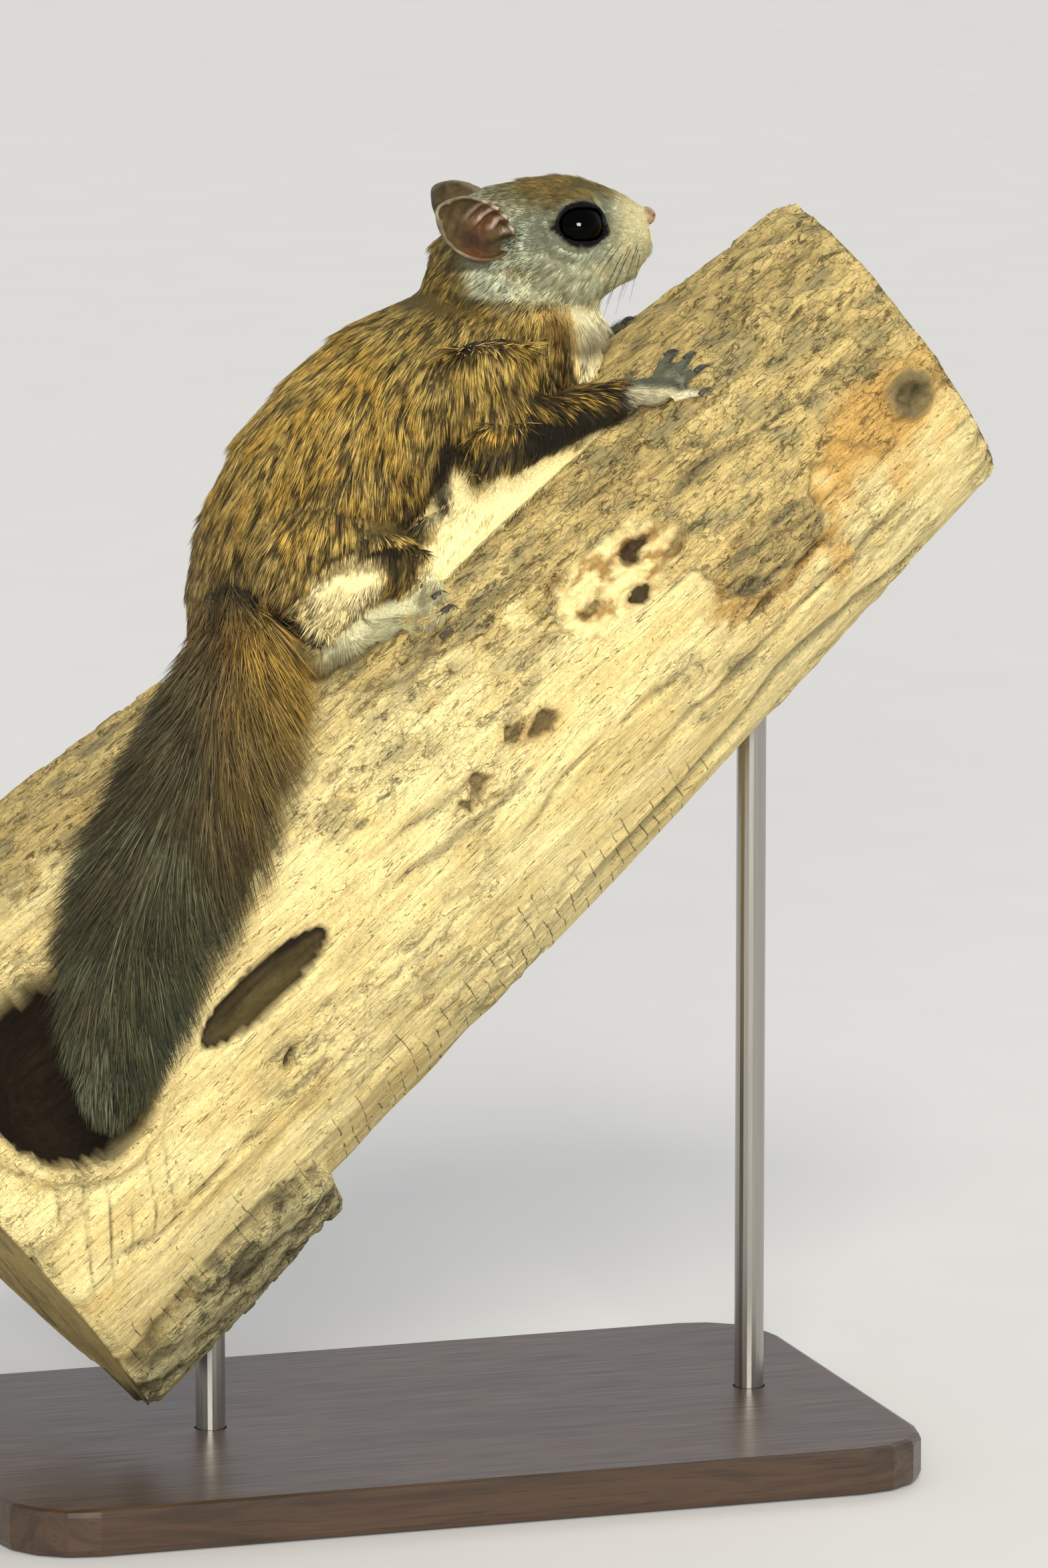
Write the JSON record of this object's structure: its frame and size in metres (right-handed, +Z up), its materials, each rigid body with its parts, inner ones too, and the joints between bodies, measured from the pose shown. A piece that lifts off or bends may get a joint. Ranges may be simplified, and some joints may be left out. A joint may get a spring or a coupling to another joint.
{
  "type": "flying squirrel figure",
  "caption": "Life-size flying squirrel clinging head up to a short length of sloping dead branch, its bushy tail laid down over a knot hole, on a flat stand with rods.",
  "frame": {"origin": "centre of the underside of the stand's base", "axes": "+X is the way the squirrel climbs and looks, +Y its left side, +Z up"},
  "size_m": [0.2717, 0.1287, 0.2769],
  "materials": {
    "face_fur": "short dense fur, frosted grey with a cream muzzle",
    "nape_fur": "short soft fur, olive brown",
    "back_fur": "soft fur, ochre tips over dark brown bases",
    "forearm_fur": "fringed fur, dark brown with golden streaks",
    "belly_fur": "soft fur, cream",
    "tail_root_fur": "long fur, reddish brown",
    "tail_fur": "long fur, grey brown",
    "tail_tip_fur": "long fur, dark slate",
    "paw": "thinly haired grey skin with dark claws",
    "ear_skin": "thin bare skin, reddish brown",
    "eye": "wet black",
    "dead_wood": "bare weathered wood, cracked",
    "stand_wood": "dark stained, satin lacquer",
    "stand_metal": "brushed"
  },
  "bodies": {
    "root": {"head": "face_fur", "neck": "nape_fur", "torso": "back_fur", "upper_arm_r": "back_fur", "upper_arm_l": "back_fur", "forearm_r": "forearm_fur", "forearm_l": "forearm_fur", "hand_r": "paw", "hand_l": "paw", "thigh_r": "back_fur", "thigh_l": "back_fur", "shank_r": "belly_fur", "shank_l": "belly_fur", "foot_r": "paw", "foot_l": "paw", "membrane_r": "belly_fur", "membrane_l": "belly_fur", "ear_r": "ear_skin", "ear_l": "ear_skin", "eye_r": "eye", "eye_l": "eye", "tail_root": "tail_root_fur", "tail_middle": "tail_fur", "tail_tip": "tail_tip_fur", "perch": "dead_wood", "stand_base": "stand_wood", "stand_rod_low": "stand_metal", "stand_rod_high": "stand_metal"}
  },
  "joints": []
}
